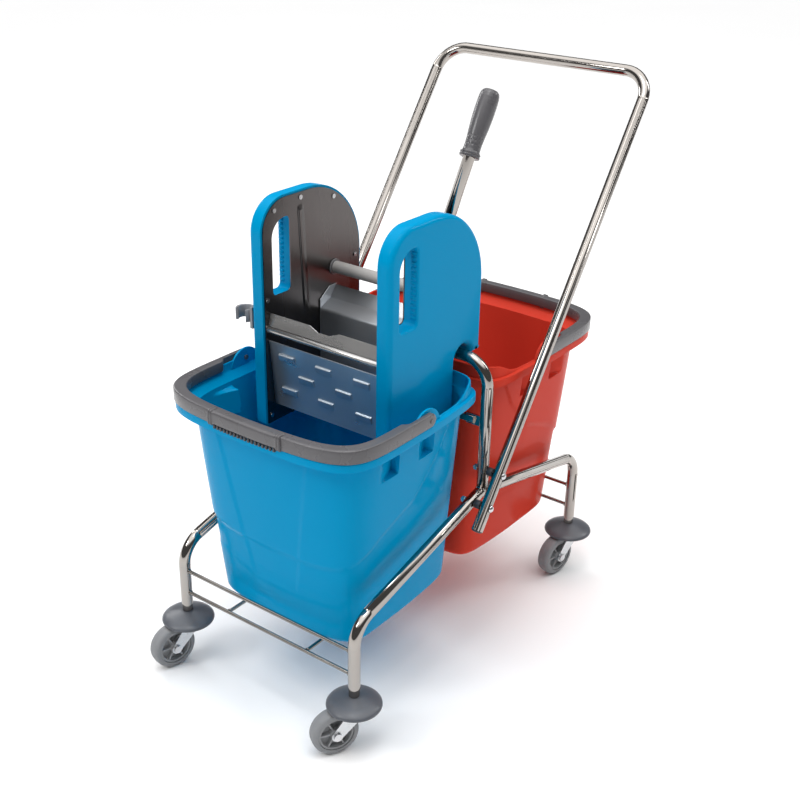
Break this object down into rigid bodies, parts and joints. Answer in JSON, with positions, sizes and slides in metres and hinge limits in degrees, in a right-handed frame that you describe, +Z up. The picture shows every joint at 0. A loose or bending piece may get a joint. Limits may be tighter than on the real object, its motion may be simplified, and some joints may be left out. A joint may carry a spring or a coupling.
{
  "type": "double mop bucket trolley",
  "caption": "Chrome tube trolley on swivel casters with two tapered buckets, a lever press mop wringer over the front one and a leaning push handle.",
  "frame": {"origin": "on the floor, in the middle of the overall length and width", "axes": "+Z up, -Y towards the front bucket with the wringer, +Y towards the push handle, +X to the right of someone looking along +Y"},
  "size_m": [0.44, 0.8166, 0.9192],
  "materials": {
    "chrome_tube": "bright chrome plated tube",
    "chrome_wire": "bright chrome plated wire",
    "chrome_sheet": "bright chrome plated sheet",
    "liner_steel": "smooth reflective stainless sheet",
    "zinc_steel": "zinc plated pressing",
    "fastener_steel": "plated fastener",
    "shaft_paint": "satin grey",
    "grey_plastic": "moulded mid grey, satin",
    "wheel_plastic": "moulded grey",
    "tyre_rubber": "grey thermoplastic rubber",
    "blue_plastic": "moulded bright blue, satin gloss",
    "red_plastic": "moulded red, satin gloss"
  },
  "bodies": {
    "frame": {"left_rail": "chrome_tube", "right_rail": "chrome_tube", "centre_hoop": "chrome_tube", "hoop_crossbar": "chrome_tube", "front_stop_rods": "chrome_wire", "rear_stop_rods": "chrome_wire", "rack_rods": "chrome_wire", "push_handle": "chrome_tube", "handle_spacers": "grey_plastic", "handle_bolts": "fastener_steel", "handle_nuts": "fastener_steel", "caster_stems": "fastener_steel", "bumper_fl": "grey_plastic", "bumper_fr": "grey_plastic", "bumper_rl": "grey_plastic", "bumper_rr": "grey_plastic"},
    "caster_fl": {"fork_fl": "zinc_steel", "axle_fl": "fastener_steel"},
    "wheel_fl": {"hub_fl": "wheel_plastic", "tyre_fl": "tyre_rubber"},
    "caster_fr": {"fork_fr": "zinc_steel", "axle_fr": "fastener_steel"},
    "wheel_fr": {"hub_fr": "wheel_plastic", "tyre_fr": "tyre_rubber"},
    "caster_rl": {"fork_rl": "zinc_steel", "axle_rl": "fastener_steel"},
    "wheel_rl": {"hub_rl": "wheel_plastic", "tyre_rl": "tyre_rubber"},
    "caster_rr": {"fork_rr": "zinc_steel", "axle_rr": "fastener_steel"},
    "wheel_rr": {"hub_rr": "wheel_plastic", "tyre_rr": "tyre_rubber"},
    "front_bucket": {"front_bucket": "blue_plastic"},
    "front_bail": {"front_bail": "grey_plastic", "front_pivots": "grey_plastic"},
    "rear_bucket": {"rear_bucket": "red_plastic"},
    "rear_bail": {"rear_bail": "grey_plastic", "rear_pivots": "grey_plastic"},
    "wringer": {"left_shell": "blue_plastic", "right_shell": "blue_plastic", "left_liner": "liner_steel", "right_liner": "liner_steel", "liner_rivets": "fastener_steel", "press_plate": "liner_steel", "lip_plate": "chrome_sheet", "tie_bar": "chrome_sheet", "lower_tie_rod": "zinc_steel", "shaft_bushes": "grey_plastic", "mop_clip": "grey_plastic", "clip_screw": "fastener_steel"},
    "press": {"lever_shaft": "shaft_paint", "lever_tube": "chrome_tube", "lever_grip": "grey_plastic", "press_jaw": "liner_steel", "jaw_cheeks": "liner_steel", "drive_arms": "zinc_steel", "jaw_rivets": "fastener_steel"}
  },
  "joints": [
    {"name": "swivel_fl", "type": "hinge", "parent": "frame", "child": "caster_fl", "pos_m": [-0.177, -0.33799, 0.09], "axis": [0, 0, 1], "continuous": true},
    {"name": "wheel_spin_fl", "type": "hinge", "parent": "caster_fl", "child": "wheel_fl", "pos_m": [-0.18486, -0.36952, 0.0375], "axis": [0.9703, -0.2419, 0], "continuous": true},
    {"name": "swivel_fr", "type": "hinge", "parent": "frame", "child": "caster_fr", "pos_m": [0.177, -0.33799, 0.09], "axis": [0, 0, 1], "continuous": true},
    {"name": "wheel_spin_fr", "type": "hinge", "parent": "caster_fr", "child": "wheel_fr", "pos_m": [0.16075, -0.36613, 0.0375], "axis": [0.866, -0.5, 0], "continuous": true},
    {"name": "swivel_rl", "type": "hinge", "parent": "frame", "child": "caster_rl", "pos_m": [-0.177, 0.29901, 0.09], "axis": [0, 0, 1], "continuous": true},
    {"name": "wheel_spin_rl", "type": "hinge", "parent": "caster_rl", "child": "wheel_rl", "pos_m": [-0.18812, 0.26847, 0.0375], "axis": [0.9397, -0.342, 0], "continuous": true},
    {"name": "swivel_rr", "type": "hinge", "parent": "frame", "child": "caster_rr", "pos_m": [0.177, 0.29901, 0.09], "axis": [0, 0, 1], "continuous": true},
    {"name": "wheel_spin_rr", "type": "hinge", "parent": "caster_rr", "child": "wheel_rr", "pos_m": [0.17136, 0.26701, 0.0375], "axis": [0.9848, -0.1736, 0], "continuous": true},
    {"name": "front_bucket_lift", "type": "slide", "parent": "frame", "child": "front_bucket", "axis": [0, 0, 1], "range_m": [0, 0.015]},
    {"name": "rear_bucket_lift", "type": "slide", "parent": "frame", "child": "rear_bucket", "axis": [0, 0, 1], "range_m": [0, 0.015]},
    {"name": "front_bail_swing", "type": "hinge", "parent": "front_bucket", "child": "front_bail", "pos_m": [0, -0.17649, 0.494], "axis": [-1, 0, 0], "range_deg": [0, 60]},
    {"name": "rear_bail_swing", "type": "hinge", "parent": "rear_bucket", "child": "rear_bail", "pos_m": [0, 0.15751, 0.494], "axis": [1, 0, 0], "range_deg": [0, 80]},
    {"name": "wringer_lift", "type": "slide", "parent": "frame", "child": "wringer", "axis": [0, 0, 1], "range_m": [0, 0.3]},
    {"name": "lever_press", "type": "hinge", "parent": "wringer", "child": "press", "pos_m": [0, -0.03699, 0.6258], "axis": [-1, 0, 0], "range_deg": [0, 34]}
  ]
}
